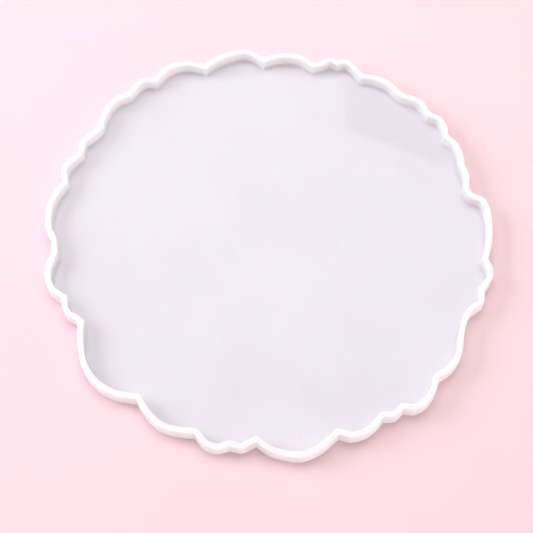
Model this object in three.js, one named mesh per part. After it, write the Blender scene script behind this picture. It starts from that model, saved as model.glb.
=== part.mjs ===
// A one-piece silicone tray mould for casting resin, in the outline of a slice of agate.
//
// The mould is a single shallow pan with a level floor. Its wall stands upright, keeps one
// thickness all the way round and follows an irregular outline of shallow lobes, which meet
// in notches that point into the pan. The moulding is described as the two solids that it
// divides into on the level of the pan's floor:
//   base_sheet  the flexible sheet under the whole outline; its top is the casting surface
//   rim_wall    the unbroken wall that stands on the edge of the sheet
//
// Frame: millimetres, +Z up, +X to the right, +Y to the back. The origin is on the
// underside, at the centre of the bounding box.

import * as THREE from "three";

// Driving dimensions
const overallHeight = 11;
const floorThickness = 2.5;
const wallThickness = 3.75;
const notchRadius = 0.6;

// How finely the curves are faceted
const tracingStep = 0.25;
const longestFacet = 7;
const lobeFacetTurn = THREE.MathUtils.degToRad(10);
const notchFacetTurn = THREE.MathUtils.degToRad(20);

// The outer outline, lobe by lobe, anticlockwise seen from above, from the back left corner.
// A lobe starts at the notch that it shares with the lobe before it, and runs smoothly
// through the points of its crest to the notch where the next lobe starts.
const lobes = [
  // Left side
  { notch: [-101, 116.5], crest: [[-109, 113], [-114.5, 106], [-118.5, 95], [-120.5, 87], [-131, 75]] },
  { notch: [-132, 65.5], crest: [[-138, 59.5], [-142, 52.5], [-142, 46]] },
  { notch: [-141, 42], crest: [[-145, 35], [-149, 25], [-150, 12], [-148.5, 3], [-145.5, -2.5]] },
  { notch: [-143.5, -14.5], crest: [[-146, -22], [-146.5, -31], [-143.5, -40.5], [-139, -45]] },
  { notch: [-134, -48.5], crest: [[-133, -54.5], [-129.5, -60.5], [-125.5, -62.5]] },
  { notch: [-122, -65.5], crest: [[-121.5, -78], [-118, -94], [-109.5, -107], [-96, -115.5]] },
  // Front
  { notch: [-82, -118], crest: [[-77, -126], [-67.5, -135.5], [-56, -139.5]] },
  { notch: [-45.5, -140.5], crest: [[-39.5, -147.5], [-31.5, -150.5]] },
  { notch: [-24, -148.5], crest: [[-16.5, -150]] },
  { notch: [-7.5, -146], crest: [[0, -151.5], [9, -154.5], [20, -155.5], [31.5, -151]] },
  { notch: [43, -141], crest: [[50, -143], [59, -141], [66, -136]] },
  { notch: [71, -130], crest: [[78, -129.5]] },
  { notch: [83.5, -124.5], crest: [[90, -125], [97.5, -121.5], [104, -112.5]] },
  // Right side
  { notch: [107, -103.5], crest: [[115, -98], [122, -88], [125, -73], [130.5, -58.5], [139, -51.5]] },
  { notch: [140.5, -41.5], crest: [[145, -36], [147.5, -30], [147, -24.5]] },
  { notch: [145, -18.5], crest: [[148.5, -7.5], [150, 5], [149.5, 21], [146, 28.5], [139.5, 32]] },
  { notch: [137, 37], crest: [[138, 46.5]] },
  { notch: [135.5, 55.5], crest: [[135, 65], [131, 74.5]] },
  { notch: [126, 80], crest: [[125.5, 89], [121.5, 96]] },
  { notch: [115, 99], crest: [[110.5, 108.5], [106, 112.5], [99, 115]] },
  // Back
  { notch: [94, 118.5], crest: [[88, 126], [78.5, 131.5]] },
  { notch: [68.5, 133.5], crest: [[63.5, 141], [58, 146], [54, 146.5]] },
  { notch: [50.5, 145.5], crest: [[47.5, 147.5], [43, 147.8], [38, 145]] },
  { notch: [33, 143.5], crest: [[25, 149.5], [14.5, 152], [4, 151]] },
  { notch: [-3, 148], crest: [[-9, 152.5], [-16, 155.5], [-26, 154], [-38.5, 148.5]] },
  { notch: [-46, 142], crest: [[-55, 144.5], [-66, 144], [-75.5, 139]] },
  { notch: [-82.5, 129.5], crest: [[-89, 130], [-95.5, 125]] },
];

const silicone = new THREE.MeshStandardMaterial({ color: 0xf5f1f4, roughness: 0.4, metalness: 0 });

// One smooth curve for each lobe, from its notch to the next lobe's.
function makeLobeCurves() {
  return lobes.map((lobe, index) => {
    const nextNotch = lobes[(index + 1) % lobes.length].notch;
    const points = [lobe.notch, ...lobe.crest, nextNotch].map(([x, y]) => new THREE.Vector3(x, y, 0));
    return new THREE.CatmullRomCurve3(points, false, "centripetal");
  });
}

// The direction from the outline into the pan, for a direction of travel along the outline.
function inwardFrom(tangent) {
  return new THREE.Vector3(-tangent.y, tangent.x, 0).normalize();
}

// A place on the outer outline, with the direction from it into the pan.
function placeOn(curve, distance) {
  const fraction = distance / curve.getLength();
  return { point: curve.getPointAt(fraction), inward: inwardFrom(curve.getTangentAt(fraction)) };
}

// The turn that the outline takes at the notch between two lobes.
function notchTurn(before, after) {
  return before.getTangentAt(1).angleTo(after.getTangentAt(0));
}

// Places along a lobe between two distances, closer together where the lobe bends more.
function traceLobe(curve, start, end) {
  const places = [placeOn(curve, start)];
  const steps = Math.ceil((end - start) / tracingStep);
  for (let step = 1; step <= steps; step++) {
    const place = placeOn(curve, start + ((end - start) * step) / steps);
    const last = places.at(-1);
    const turned = place.inward.angleTo(last.inward) > lobeFacetTurn;
    const long = place.point.distanceTo(last.point) > longestFacet;
    if (turned || long || step === steps) places.push(place);
  }
  return places;
}

// Places on the small arc that rounds a notch, between the ends of its two lobes.
function traceNotch(lobeEnd, lobeStart) {
  const turn = lobeEnd.inward.angleTo(lobeStart.inward);
  const facets = Math.ceil(turn / notchFacetTurn);
  const centre = lobeEnd.point.clone().addScaledVector(lobeEnd.inward, -notchRadius);
  const down = new THREE.Vector3(0, 0, -1);
  const places = [];
  for (let facet = 1; facet < facets; facet++) {
    const inward = lobeEnd.inward.clone().applyAxisAngle(down, (turn * facet) / facets);
    places.push({ point: centre.clone().addScaledVector(inward, notchRadius), inward });
  }
  return places;
}

// The whole outer outline: every lobe, and the rounded notch that follows it.
function traceOutline() {
  const curves = makeLobeCurves();
  const cuts = curves.map((curve, index) => {
    return notchRadius * Math.tan(notchTurn(curves.at(index - 1), curve) / 2);
  });
  const traces = curves.map((curve, index) => {
    return traceLobe(curve, cuts[index], curve.getLength() - cuts[(index + 1) % curves.length]);
  });
  return traces.flatMap((trace, index) => {
    const next = traces[(index + 1) % traces.length];
    return [...trace, ...traceNotch(trace.at(-1), next[0])];
  });
}

// The outline moved into the pan by a distance, as points for a flat shape.
function insetOutline(outline, distance) {
  return outline.map(({ point, inward }) => {
    const moved = point.clone().addScaledVector(inward, distance);
    return new THREE.Vector2(moved.x, moved.y);
  });
}

function makeBaseSheet(outline) {
  const shape = new THREE.Shape(insetOutline(outline, 0));
  const geometry = new THREE.ExtrudeGeometry(shape, { depth: floorThickness, bevelEnabled: false });
  const sheet = new THREE.Mesh(geometry, silicone);
  sheet.name = "base_sheet";
  return sheet;
}

function makeRimWall(outline) {
  const shape = new THREE.Shape(insetOutline(outline, 0));
  shape.holes.push(new THREE.Path(insetOutline(outline, wallThickness)));
  const height = overallHeight - floorThickness;
  const geometry = new THREE.ExtrudeGeometry(shape, { depth: height, bevelEnabled: false });
  const wall = new THREE.Mesh(geometry, silicone);
  wall.name = "rim_wall";
  wall.position.z = floorThickness;
  return wall;
}

const outline = traceOutline();
const footprint = new THREE.Box2().setFromPoints(insetOutline(outline, 0));
const centre = footprint.getCenter(new THREE.Vector2());

const mould = new THREE.Group();
mould.add(makeBaseSheet(outline), makeRimWall(outline));
mould.position.set(-centre.x, -centre.y, 0);

export default mould;
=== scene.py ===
# The looks of a one-piece silicone tray mould for casting resin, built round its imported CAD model.
#
# The mould is one continuous piece of silicone: a matte underside, a satin wall with a rounded
# rim, and a polished casting floor, swept along the outline that the CAD model gives. It lies
# on a plain pale pink ground under soft studio light. Lengths are in metres.

import math

import bpy
import numpy as np
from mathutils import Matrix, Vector, noise


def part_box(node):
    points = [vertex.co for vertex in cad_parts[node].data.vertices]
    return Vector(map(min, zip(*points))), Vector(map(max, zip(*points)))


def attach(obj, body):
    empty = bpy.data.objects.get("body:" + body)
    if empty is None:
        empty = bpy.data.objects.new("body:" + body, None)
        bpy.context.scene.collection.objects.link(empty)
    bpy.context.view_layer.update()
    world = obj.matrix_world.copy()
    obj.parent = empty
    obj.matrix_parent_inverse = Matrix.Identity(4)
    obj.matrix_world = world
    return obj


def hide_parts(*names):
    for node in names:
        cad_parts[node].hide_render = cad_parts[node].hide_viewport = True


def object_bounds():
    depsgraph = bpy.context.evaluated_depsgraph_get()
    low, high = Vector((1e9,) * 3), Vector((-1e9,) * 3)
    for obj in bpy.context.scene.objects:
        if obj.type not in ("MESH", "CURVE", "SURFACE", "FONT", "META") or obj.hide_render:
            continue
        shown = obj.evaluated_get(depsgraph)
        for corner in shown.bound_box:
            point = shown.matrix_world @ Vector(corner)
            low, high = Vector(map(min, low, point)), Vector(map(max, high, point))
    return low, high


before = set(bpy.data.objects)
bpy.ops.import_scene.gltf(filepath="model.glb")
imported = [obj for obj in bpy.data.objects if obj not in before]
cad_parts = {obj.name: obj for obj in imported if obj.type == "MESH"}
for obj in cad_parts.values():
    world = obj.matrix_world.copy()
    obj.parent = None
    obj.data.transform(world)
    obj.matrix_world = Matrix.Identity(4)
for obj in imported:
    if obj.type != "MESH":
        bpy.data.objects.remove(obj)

MILLIMETRE = 0.001

# The silicone's own shape, beyond what the CAD model fixes
OUTLINE_SPACING = 1.0 * MILLIMETRE
RIM_EDGE_RADIUS = 0.55 * MILLIMETRE
FOOT_EDGE_RADIUS = 0.9 * MILLIMETRE
FLOOR_FILLET_RADIUS = 0.85 * MILLIMETRE
ROUNDING_STEPS = 4
SUPPORT_DISTANCE = 0.1 * MILLIMETRE
NOTCH_TIP_RADIUS = 0.4 * MILLIMETRE
NOTCH_STEPS = 4
WALL_STEPS = 4
RIM_STEPS = 3
PAN_RINGS = 20
UNDERSIDE_RINGS = 6
INNERMOST_RING = 0.03
PAN_WAVE_HEIGHT = 0.04 * MILLIMETRE
PAN_WAVE_LENGTH = 70 * MILLIMETRE
PAN_WAVE_FADE_RINGS = 4
RIM_WAVE_HEIGHT = 0.15 * MILLIMETRE
RIM_LEAN = 0.35 * MILLIMETRE
RIM_WAVE_LENGTH = 45 * MILLIMETRE

# The silicone's looks. Colours are screen values out of 255, each surface's varying between two.
SILICONE_IOR = 1.41
# The pan's colours are painted darker and more lilac than the wall's: painted shade where light leaks
# out through the thin sheet, and painted pink bounce light from the ground below.
PAN_COLOURS = ((221, 214, 222), (224, 218, 225))
PAN_ROUGHNESS = (0.02, 0.04)
PAN_GLOSS = 0.5
PAN_SCATTER = (1.0, 0.6, 0.7)
# The wall's faint pink tint is painted pink bounce light from the ground.
WALL_COLOURS = ((230, 226, 229), (233, 229, 232))
WALL_ROUGHNESS = (0.32, 0.45)
WALL_SCATTER_DISTANCE = 6.0 * MILLIMETRE
UNDERSIDE_COLOURS = ((232, 226, 231), (237, 232, 236))
UNDERSIDE_ROUGHNESS = (0.45, 0.6)
SATIN_GLOSS = 0.3
SATIN_SCATTER = (1.0, 0.75, 0.8)
SHEET_SCATTER_DISTANCE = 2.5 * MILLIMETRE
DUST_COLOUR = (150, 140, 145)
DUST_SPACING_SCALE = 25.0
DUST_SIZE = 0.01
DUST_STRENGTH = 0.45

# The camera, aimed at a point on the ground near the mould's centre
FOCAL_LENGTH_MM = 77.67
CAMERA_ELEVATION = math.radians(61.6)
CAMERA_DISTANCE = 0.7667
CAMERA_AIM_OFFSET = Vector((-0.00135, -0.01904, 0.0))

GROUND_SIZE = 40.0
GROUND_GAP = 0.02 * MILLIMETRE
GROUND_COLOURS = ((0.90, 0.65, 0.70, 1.0), (0.91, 0.665, 0.715, 1.0))

# The studio's light. A radiance of 1 makes a white surface facing it all round just white.
WINDOW_AZIMUTH = 166
WINDOW_ELEVATION = 28
WINDOW_DISTANCE = 2.6
WINDOW_SIZE = (1.7, 1.25)
WINDOW_RADIANCE = 6.3
WINDOW_COLOUR = (0.93, 1.0, 1.06)
CEILING_HEIGHT = 1.5
CEILING_HALF_WIDTH = 0.7
CEILING_NEAR = 0.1
CEILING_FAR = 1.3
CEILING_NEAR_RADIANCE = 3.5
CEILING_FAR_RADIANCE = 2.0
CARD_CORNERS = ((0.18, 1.14), (0.18, 1.7), (1.0, 1.7), (1.0, 0.78))
CARD_DROP = 0.01
CARD_RADIANCE = 0.35
FILL_AZIMUTH = -55
FILL_SPREAD = (-0.1, 0.9)
FILL_HEIGHT = 0.28
FILL_RADIANCE = 4.6
ROOM_COLOUR = (1.02, 1.0, 0.97, 1.0)
ROOM_BASE = 0.45
ROOM_RIGHT = 0.17
ROOM_BACK = 0.11
ROOM_SPREAD = (-0.6, 0.8)


# ---------------------------------------------------------------- outline

def node_places(name):
    """The distinct places of a CAD node's vertices seen from above, in order round the origin."""
    corners = np.array([vertex.co[:2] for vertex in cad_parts[name].data.vertices])
    places = np.unique(np.round(corners, 7), axis=0)
    return places[np.argsort(np.arctan2(places[:, 1], places[:, 0]))]


def read_outlines():
    """The CAD wall's outer and inner outlines, paired point by point across the wall."""
    outer = node_places("base_sheet")
    wall = node_places("rim_wall")
    gaps = np.linalg.norm(wall[:, None] - outer[None], axis=2)
    across_wall = gaps.min(axis=1) > MILLIMETRE
    partners = gaps[across_wall].argmin(axis=1)
    return outer, wall[across_wall][np.argsort(partners)]


def catmull_rom(p0, p1, p2, p3, fractions):
    """Points between p1 and p2 on the centripetal Catmull-Rom curve through four points."""
    t0 = 0.0
    t1 = t0 + math.sqrt(np.linalg.norm(p1 - p0))
    t2 = t1 + math.sqrt(np.linalg.norm(p2 - p1))
    t3 = t2 + math.sqrt(np.linalg.norm(p3 - p2))
    t = (t1 + (t2 - t1) * fractions)[:, None]
    a1 = ((t1 - t) * p0 + (t - t0) * p1) / (t1 - t0)
    a2 = ((t2 - t) * p1 + (t - t1) * p2) / (t2 - t1)
    a3 = ((t3 - t) * p2 + (t - t2) * p3) / (t3 - t2)
    b1 = ((t2 - t) * a1 + (t - t0) * a2) / (t2 - t0)
    b2 = ((t3 - t) * a2 + (t - t1) * a3) / (t3 - t1)
    return ((t2 - t) * b1 + (t - t1) * b2) / (t2 - t1)


def segment_lengths(loop):
    """The length of each side of a closed loop."""
    return np.linalg.norm(np.roll(loop, -1, axis=0) - loop, axis=1)


def smooth_loop(loop, steps):
    """The loop as a smooth closed curve, with a number of steps along each of its sides."""
    stretches = []
    for index, count in enumerate(steps):
        corners = [loop[(index + offset) % len(loop)] for offset in (-1, 0, 1, 2)]
        stretches.append(catmull_rom(*corners, np.arange(count) / count))
    return np.concatenate(stretches)


def heading(vector):
    """The angle of a direction seen from above."""
    return math.atan2(vector[1], vector[0])


def direction(angle):
    """The unit vector at an angle seen from above."""
    return np.array([math.cos(angle), math.sin(angle)])


def point_notch(outer_ends, inner_ends):
    """Paired points round one notch, with the wall's inner face drawn out to a rounded point."""
    start, end = (heading(inner - outer) for outer, inner in zip(outer_ends, inner_ends))
    turn = (end - start + math.pi) % (2 * math.pi) - math.pi
    outer_radius = np.linalg.norm(outer_ends[1] - outer_ends[0]) / (2 * abs(math.sin(turn / 2)))
    inner_radius = outer_radius + np.linalg.norm(inner_ends[0] - outer_ends[0])
    centre = outer_ends[0] - outer_radius * direction(start)
    reach = (inner_radius - NOTCH_TIP_RADIUS) / math.cos(turn / 2)
    tip_centre = centre + reach * direction(start + turn / 2)

    shares = np.linspace(0.0, 1.0, NOTCH_STEPS + 1)
    tip = [tip_centre + NOTCH_TIP_RADIUS * direction(start + turn * share) for share in shares]
    before = [inner_ends[0] + (tip[0] - inner_ends[0]) * share for share in shares[:-1]]
    after = [tip[-1] + (inner_ends[1] - tip[-1]) * share for share in shares[1:]]
    inner = [*before, *tip, *after]
    turns = turn * np.linspace(0.0, 1.0, len(inner))
    outer = [centre + outer_radius * direction(start + turned) for turned in turns]
    return outer, inner


def sharpen_notches(outer, inner):
    """The outlines with every notch pointed on the inside of the wall, as on the real mould."""
    in_notch = segment_lengths(inner) > 2 * segment_lengths(outer)
    count = len(outer)
    first = next(i for i in range(count) if not in_notch[i] and not in_notch[i - 1])
    order = [(first + i) % count for i in range(count)]
    sharp_outer, sharp_inner = [], []
    while order:
        index = order.pop(0)
        if not in_notch[index]:
            sharp_outer.append(outer[index])
            sharp_inner.append(inner[index])
            continue
        end = order.pop(0)
        while in_notch[end]:
            end = order.pop(0)
        notch_outer, notch_inner = point_notch(outer[[index, end]], inner[[index, end]])
        sharp_outer += notch_outer
        sharp_inner += notch_inner
    return np.array(sharp_outer), np.array(sharp_inner)


def smooth_outlines():
    """Both outlines as smooth curves whose points are still paired, inside the CAD model's box."""
    outer, inner = sharpen_notches(*read_outlines())
    longest = np.maximum(segment_lengths(outer), segment_lengths(inner))
    steps = np.ceil(longest / OUTLINE_SPACING).astype(int)
    smooth_outer = np.clip(smooth_loop(outer, steps), outer.min(axis=0), outer.max(axis=0))
    return smooth_outer, smooth_loop(inner, steps)


# ---------------------------------------------------------------- cross-section

def rounding(centre, radius, start, end):
    """Points on a quarter round of the cross-section, between two angles in degrees."""
    angles = np.radians(np.linspace(start, end, ROUNDING_STEPS + 1))
    return [(centre[0] + radius * math.cos(a), centre[1] + radius * math.sin(a)) for a in angles]


def straight(start, end, steps):
    """Points strictly between two ends of a straight run, with one close to each end."""
    start, end = np.array(start), np.array(end)
    near_end = SUPPORT_DISTANCE / np.linalg.norm(end - start)
    return [tuple(start + (end - start) * f) for f in np.linspace(near_end, 1 - near_end, steps)]


def cross_section(thickness, floor, height):
    """The wall's cross-section as (distance from the outer outline, height) runs, foot to pan."""
    foot = rounding((FOOT_EDGE_RADIUS, FOOT_EDGE_RADIUS), FOOT_EDGE_RADIUS, 270, 180)
    rim_centre = height - RIM_EDGE_RADIUS
    outer_edge = rounding((RIM_EDGE_RADIUS, rim_centre), RIM_EDGE_RADIUS, 180, 90)
    inner_edge = rounding((thickness - RIM_EDGE_RADIUS, rim_centre), RIM_EDGE_RADIUS, 90, 0)
    fillet_centre = (thickness + FLOOR_FILLET_RADIUS, floor + FLOOR_FILLET_RADIUS)
    fillet = rounding(fillet_centre, FLOOR_FILLET_RADIUS, 180, 270)
    beside_foot = (foot[0][0] + SUPPORT_DISTANCE, 0.0)
    beside_fillet = (fillet[-1][0] + SUPPORT_DISTANCE, floor)
    outer_wall = straight(foot[-1], outer_edge[0], WALL_STEPS)
    rim_top = straight(outer_edge[-1], inner_edge[0], RIM_STEPS)
    inner_wall = straight(inner_edge[-1], fillet[0], WALL_STEPS)
    wall = [*foot, *outer_wall, *outer_edge, *rim_top, *inner_edge, *inner_wall]
    return [beside_foot], [*wall, *fillet], [beside_fillet]


# ---------------------------------------------------------------- mesh

def wave(x, y, wave_length, seed):
    """A smooth wave over the plan of the mould, between about -1 and 1."""
    return noise.noise(Vector((x / wave_length, y / wave_length, seed)))


def place_ring(outer, inner, thickness, across, up):
    """One ring of the swept cross-section, at a distance from the outer outline and a height."""
    through = inner - outer
    inward = through / np.linalg.norm(through, axis=1)[:, None]
    flat = outer + through * min(across / thickness, 1.0) + inward * max(across - thickness, 0.0)
    return np.column_stack([flat, np.full(len(flat), up)])


def relax_wall(ring, outline, inward, floor, height):
    """Lets the soft wall lean inward and dip a little, most at its top and differently round it."""
    share = max(0.0, (ring[0, 2] - floor) / (height - floor))
    if share == 0:
        return ring
    relaxed = ring.copy()
    for index, (x, y) in enumerate(outline):
        lean = 0.5 + 0.5 * wave(x, y, RIM_WAVE_LENGTH, seed=3.0)
        dip = 0.5 + 0.5 * wave(x, y, RIM_WAVE_LENGTH, seed=11.0)
        relaxed[index, :2] += inward[index] * (RIM_LEAN * lean * share ** 2)
        relaxed[index, 2] -= RIM_WAVE_HEIGHT * dip * share
    return relaxed


def shrink_rings(edge, count):
    """Rings inside an edge ring, each the same shape drawn in towards the origin."""
    shares = np.linspace(1.0, INNERMOST_RING, count + 1)[1:]
    return [np.column_stack([edge[:, :2] * share, edge[:, 2]]) for share in shares]


def ripple_pan(rings, floor):
    """Gives the pan floor the slight long waves of a sheet of silicone, fading out at its edge."""
    for number, ring in enumerate(rings):
        fade = min(1.0, (number + 1) / PAN_WAVE_FADE_RINGS)
        for point in ring:
            point[2] = floor + PAN_WAVE_HEIGHT * fade * wave(*point[:2], PAN_WAVE_LENGTH, seed=5.0)


def build_rings():
    """Every ring of the mould from the middle of its underside to the middle of its pan."""
    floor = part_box("base_sheet")[1].z
    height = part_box("rim_wall")[1].z
    outer, inner = smooth_outlines()
    across_wall = inner - outer
    thickness = float(np.median(np.linalg.norm(across_wall, axis=1)))
    inward = across_wall / np.linalg.norm(across_wall, axis=1)[:, None]
    under, wall, pan = cross_section(thickness, floor, height)

    def sweep(section):
        rings = [place_ring(outer, inner, thickness, across, up) for across, up in section]
        return [relax_wall(ring, outer, inward, floor, height) for ring in rings]

    under_rings, wall_rings, pan_rings = sweep(under), sweep(wall), sweep(pan)
    underside = shrink_rings(under_rings[0], UNDERSIDE_RINGS)[::-1] + under_rings
    pan_floor = shrink_rings(pan_rings[-1], PAN_RINGS)
    ripple_pan(pan_floor, floor)
    return underside, wall_rings, pan_rings + pan_floor


def ring_faces(first, count):
    """The faces between one ring of vertices and the next."""
    around = [(index, (index + 1) % count) for index in range(count)]
    return [(first + a, first + b, first + count + b, first + count + a) for a, b in around]


def build_mould(materials):
    """The whole mould as one closed mesh, with a material for each of its three regions."""
    regions = build_rings()
    rings = [ring for region in regions for ring in region]
    count = len(rings[0])
    vertices = np.concatenate(rings)
    under_centre = len(vertices)
    pan_centre = under_centre + 1
    centres = [rings[0].mean(axis=0), rings[-1].mean(axis=0)]
    vertices = np.concatenate([vertices, centres])
    vertices = np.clip(vertices, *(np.array(corner) for corner in cad_box))

    faces = [(under_centre, (index + 1) % count, index) for index in range(count)]
    region_of_face = [0] * count
    last_ring_of_region = np.cumsum([len(region) for region in regions])
    for number in range(len(rings) - 1):
        region = int(np.searchsorted(last_ring_of_region, number + 1, side="right"))
        faces += ring_faces(number * count, count)
        region_of_face += [region] * count
    last = (len(rings) - 1) * count
    faces += [(last + index, last + (index + 1) % count, pan_centre) for index in range(count)]
    region_of_face += [2] * count

    mesh = bpy.data.meshes.new("silicone_mould")
    mesh.from_pydata(vertices.tolist(), [], faces)
    mesh.polygons.foreach_set("material_index", region_of_face)
    mesh.shade_smooth()
    for material in materials:
        mesh.materials.append(material)
    mesh.validate()
    mould = bpy.data.objects.new("silicone_mould", mesh)
    bpy.context.scene.collection.objects.link(mould)
    return mould


# ---------------------------------------------------------------- materials

class Nodes:
    """A short way to add and join the nodes of one material or world."""

    def __init__(self, owner):
        owner.use_nodes = True
        self.tree = owner.node_tree
        self.tree.nodes.clear()

    def add(self, kind, **inputs):
        """Adds a node. Inputs are numbers, colours or other nodes' outputs."""
        node = self.tree.nodes.new(kind)
        for name, value in inputs.items():
            self.set(node, name.replace("_", " "), value)
        return node

    def set(self, node, name, value):
        """Sets or joins one input, found by its name whatever its case."""
        socket = next(s for s in node.inputs if s.name.lower() == name.lower() and s.enabled)
        if isinstance(value, bpy.types.NodeSocket):
            self.tree.links.new(value, socket)
        else:
            socket.default_value = value

    def maths(self, operation, first, second=0.0):
        """The result of a Math node."""
        node = self.tree.nodes.new("ShaderNodeMath")
        node.operation = operation
        for socket, value in zip(node.inputs, (first, second)):
            if isinstance(value, bpy.types.NodeSocket):
                self.tree.links.new(value, socket)
            else:
                socket.default_value = value
        return node.outputs[0]

    def spread(self, value, low, high, to_low, to_high):
        """A value spread smoothly from one range to another."""
        node = self.tree.nodes.new("ShaderNodeMapRange")
        node.interpolation_type = "SMOOTHSTEP"
        for socket, number in zip(node.inputs[1:5], (low, high, to_low, to_high)):
            socket.default_value = number
        self.tree.links.new(value, node.inputs[0])
        return node.outputs[0]

    def blend(self, amount, first, second):
        """A mix of two colours."""
        node = self.tree.nodes.new("ShaderNodeMix")
        node.data_type = "RGBA"
        sockets = [s for s in node.inputs if s.enabled]
        for socket, value in zip(sockets, (amount, first, second)):
            if isinstance(value, bpy.types.NodeSocket):
                self.tree.links.new(value, socket)
            else:
                socket.default_value = value
        return next(s for s in node.outputs if s.enabled)

    def place(self):
        """The point being shaded, in the object's own frame."""
        return self.add("ShaderNodeTexCoord").outputs["Object"]

    def clouds(self, scale, detail=3.0, roughness=0.5):
        """A soft noise between 0 and 1, fixed to the object."""
        node = self.add(
            "ShaderNodeTexNoise", vector=self.place(), scale=scale, detail=detail, roughness=roughness
        )
        return node.outputs[0]

    def specks(self, scale, size):
        """Sparse round specks, 1 in each speck and 0 elsewhere."""
        node = self.add("ShaderNodeTexVoronoi", vector=self.place(), scale=scale)
        node.voronoi_dimensions = "2D"
        return self.spread(node.outputs["Distance"], size * 0.6, size, 1.0, 0.0)

    def bump(self, height, distance):
        """The normal of a surface raised by a height."""
        return self.add("ShaderNodeBump", height=height, distance=distance, strength=1.0).outputs[0]

    def mottle(self, cloud, first, second):
        """A colour that varies between two with a cloud."""
        return self.blend(self.spread(cloud, 0.3, 0.7, 0.0, 1.0), first, second)


def linear(red, green, blue):
    """A colour from its screen values out of 255."""
    def channel(value):
        value /= 255
        return value / 12.92 if value <= 0.04045 else ((value + 0.055) / 1.055) ** 2.4
    return (channel(red), channel(green), channel(blue), 1.0)


def silicone(nodes, colour, roughness, gloss, normal, scatter, scatter_distance):
    """A milky silicone surface, through which red light spreads furthest."""
    shader = nodes.add(
        "ShaderNodeBsdfPrincipled",
        base_color=colour,
        roughness=roughness,
        normal=normal,
        ior=SILICONE_IOR,
        specular_ior_level=gloss,
        subsurface_weight=1.0,
        subsurface_radius=scatter,
        subsurface_scale=scatter_distance,
    )
    output = nodes.add("ShaderNodeOutputMaterial")
    nodes.tree.links.new(shader.outputs[0], output.inputs["Surface"])


def make_pan_silicone():
    """The polished casting floor: glossy and faintly lilac, with a few specks of dust. The lilac and
    its darker tone than the wall are painted shade and painted pink bounce light from the ground.
    """
    material = bpy.data.materials.new("polished_silicone")
    nodes = Nodes(material)
    cloud = nodes.clouds(scale=14.0)
    # The pan's base colour carries painted shade and painted pink bounce light from the ground.
    clean = nodes.mottle(cloud, *(linear(*colour) for colour in PAN_COLOURS))
    dusty_places = nodes.spread(cloud, 0.48, 0.6, 0.0, DUST_STRENGTH)
    dust = nodes.maths("MULTIPLY", nodes.specks(DUST_SPACING_SCALE, DUST_SIZE), dusty_places)
    colour = nodes.blend(dust, clean, linear(*DUST_COLOUR))
    haze = nodes.clouds(scale=40.0, detail=5.0)
    roughness = nodes.spread(haze, 0.3, 0.75, *PAN_ROUGHNESS)
    grain = nodes.clouds(scale=900.0, detail=2.0)
    normal = nodes.bump(grain, 0.001 * MILLIMETRE)
    silicone(nodes, colour, roughness, PAN_GLOSS, normal, PAN_SCATTER, SHEET_SCATTER_DISTANCE)
    return material


def make_wall_silicone():
    """The satin wall and rim: white with a faint pink tint that is painted pink bounce light from the
    ground, and a fine even grain.
    """
    material = bpy.data.materials.new("satin_silicone")
    nodes = Nodes(material)
    # The wall's colour carries a faint painted pink bounce light from the ground.
    colour = nodes.mottle(nodes.clouds(scale=60.0), *(linear(*colour) for colour in WALL_COLOURS))
    haze = nodes.clouds(scale=150.0, detail=4.0)
    roughness = nodes.spread(haze, 0.3, 0.7, *WALL_ROUGHNESS)
    grain = nodes.clouds(scale=1500.0, detail=3.0)
    normal = nodes.bump(grain, 0.01 * MILLIMETRE)
    silicone(nodes, colour, roughness, SATIN_GLOSS, normal, SATIN_SCATTER, WALL_SCATTER_DISTANCE)
    return material


def make_underside_silicone():
    """The matte underside, faintly clouded."""
    material = bpy.data.materials.new("matte_silicone")
    nodes = Nodes(material)
    colour = nodes.mottle(nodes.clouds(scale=25.0), *(linear(*colour) for colour in UNDERSIDE_COLOURS))
    haze = nodes.clouds(scale=80.0, detail=5.0)
    roughness = nodes.spread(haze, 0.3, 0.7, *UNDERSIDE_ROUGHNESS)
    grain = nodes.clouds(scale=700.0, detail=4.0)
    normal = nodes.bump(grain, 0.03 * MILLIMETRE)
    silicone(nodes, colour, roughness, SATIN_GLOSS, normal, SATIN_SCATTER, SHEET_SCATTER_DISTANCE)
    return material


def make_ground_material():
    """A plain matte pale pink ground."""
    material = bpy.data.materials.new("pink_ground")
    nodes = Nodes(material)
    colour = nodes.mottle(nodes.clouds(scale=6.0), *GROUND_COLOURS)
    grain = nodes.clouds(scale=1200.0, detail=3.0)
    shader = nodes.add(
        "ShaderNodeBsdfPrincipled",
        base_color=colour,
        roughness=0.75,
        specular_ior_level=0.2,
        normal=nodes.bump(grain, 0.01 * MILLIMETRE),
    )
    output = nodes.add("ShaderNodeOutputMaterial")
    nodes.tree.links.new(shader.outputs[0], output.inputs["Surface"])
    return material


# ---------------------------------------------------------------- studio

def make_ground():
    """The plain floor under the mould, just clear of its underside."""
    half = GROUND_SIZE / 2
    corners = [(-half, -half), (half, -half), (half, half), (-half, half)]
    mesh = bpy.data.meshes.new("ground")
    mesh.from_pydata([(x, y, -GROUND_GAP) for x, y in corners], [], [(0, 1, 2, 3)])
    mesh.materials.append(make_ground_material())
    ground = bpy.data.objects.new("ground", mesh)
    bpy.context.scene.collection.objects.link(ground)


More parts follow.
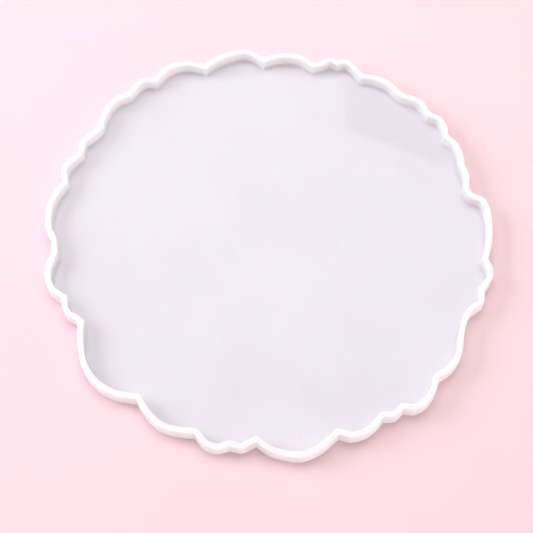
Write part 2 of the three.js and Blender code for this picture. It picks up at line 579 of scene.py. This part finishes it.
def make_panel(name, corners, height, near_radiance, far_radiance):
    """A level panel whose glow changes from front to back. The camera doesn't see it directly."""
    mesh = bpy.data.meshes.new(name)
    mesh.from_pydata([(x, y, height) for x, y in corners], [], [tuple(range(len(corners)))])
    material = bpy.data.materials.new(name)
    nodes = Nodes(material)
    depth = nodes.add("ShaderNodeSeparateXYZ", vector=nodes.place()).outputs["Y"]
    near, far = min(corner[1] for corner in corners), max(corner[1] for corner in corners)
    strength = nodes.spread(depth, near, far, near_radiance, far_radiance)
    emission = nodes.add("ShaderNodeEmission", color=(1.0, 1.0, 1.0, 1.0), strength=strength)
    output = nodes.add("ShaderNodeOutputMaterial")
    nodes.tree.links.new(emission.outputs[0], output.inputs["Surface"])
    mesh.materials.append(material)
    panel = bpy.data.objects.new(name, mesh)
    panel.visible_camera = False
    bpy.context.scene.collection.objects.link(panel)
    return panel


def make_window():
    """The key light: a wide soft window low on the left, a little behind the mould.

    Nothing mirrors it, because the polished pan would show it as a white block from the right.
    """
    azimuth, elevation = math.radians(WINDOW_AZIMUTH), math.radians(WINDOW_ELEVATION)
    level = Vector((math.cos(azimuth), math.sin(azimuth), 0.0))
    towards = level * math.cos(elevation) + Vector((0.0, 0.0, math.sin(elevation)))
    data = bpy.data.lights.new("window", "AREA")
    data.shape = "RECTANGLE"
    data.color = WINDOW_COLOUR
    data.size, data.size_y = WINDOW_SIZE
    data.energy = WINDOW_RADIANCE * WINDOW_SIZE[0] * WINDOW_SIZE[1] * math.pi
    window = bpy.data.objects.new("window", data)
    window.location = towards * WINDOW_DISTANCE
    window.rotation_mode = "QUATERNION"
    window.rotation_quaternion = (-towards).to_track_quat("-Z", "Y")
    window.visible_glossy = False
    bpy.context.scene.collection.objects.link(window)


def make_ceiling_lights():
    """The soft panel overhead towards the back, and the dark card below one corner of it.

    The card is only seen in reflections: it is the darker patch that the pan mirrors.
    """
    side, near, far = CEILING_HALF_WIDTH, CEILING_NEAR, CEILING_FAR
    corners = [(-side, near), (-side, far), (side, far), (side, near)]
    make_panel("ceiling_panel", corners, CEILING_HEIGHT, CEILING_NEAR_RADIANCE, CEILING_FAR_RADIANCE)
    card_height = CEILING_HEIGHT - CARD_DROP
    card = make_panel("dark_card", CARD_CORNERS, card_height, CARD_RADIANCE, CARD_RADIANCE)
    card.visible_diffuse = False
    card.visible_shadow = False


def make_world():
    """The pale room, brighter on the right and at the back, with a low glow at the front right."""
    world = bpy.data.worlds.new("studio")
    bpy.context.scene.world = world
    nodes = Nodes(world)
    towards = nodes.add("ShaderNodeTexCoord").outputs["Generated"]
    axes = nodes.add("ShaderNodeSeparateXYZ", vector=towards).outputs
    strength = ROOM_BASE
    for axis, amount in (("X", ROOM_RIGHT), ("Y", ROOM_BACK)):
        strength = nodes.maths("ADD", strength, nodes.spread(axes[axis], *ROOM_SPREAD, 0.0, amount))
    azimuth = math.radians(FILL_AZIMUTH)
    along_x = nodes.maths("MULTIPLY", axes["X"], math.cos(azimuth))
    along_y = nodes.maths("MULTIPLY", axes["Y"], math.sin(azimuth))
    facing = nodes.spread(nodes.maths("ADD", along_x, along_y), *FILL_SPREAD, 0.0, 1.0)
    slope = nodes.maths("ABSOLUTE", axes["Z"])
    low = nodes.spread(slope, 0.0, FILL_HEIGHT, FILL_RADIANCE, 0.0)
    strength = nodes.maths("ADD", strength, nodes.maths("MULTIPLY", facing, low))
    background = nodes.add("ShaderNodeBackground", color=ROOM_COLOUR, strength=strength)
    output = nodes.add("ShaderNodeOutputWorld")
    nodes.tree.links.new(background.outputs[0], output.inputs["Surface"])


def make_camera():
    """The camera, looking down on the mould from the front."""
    low, high = cad_box
    centre = (low + high) / 2
    aim = Vector((centre.x, centre.y, low.z)) + CAMERA_AIM_OFFSET
    back = Vector((0.0, -math.cos(CAMERA_ELEVATION), math.sin(CAMERA_ELEVATION)))
    data = bpy.data.cameras.new("camera")
    data.sensor_width = 36.0
    data.lens = FOCAL_LENGTH_MM
    camera = bpy.data.objects.new("camera", data)
    camera.location = aim + back * CAMERA_DISTANCE
    camera.rotation_mode = "QUATERNION"
    camera.rotation_quaternion = (-back).to_track_quat("-Z", "Y")
    bpy.context.scene.collection.objects.link(camera)
    bpy.context.scene.camera = camera


cad_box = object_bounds()

mould = build_mould([make_underside_silicone(), make_wall_silicone(), make_pan_silicone()])
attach(mould, "root")
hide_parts("base_sheet", "rim_wall")

make_ground()
make_window()
make_ceiling_lights()
make_world()
make_camera()
bpy.context.scene.view_settings.view_transform = "Standard"
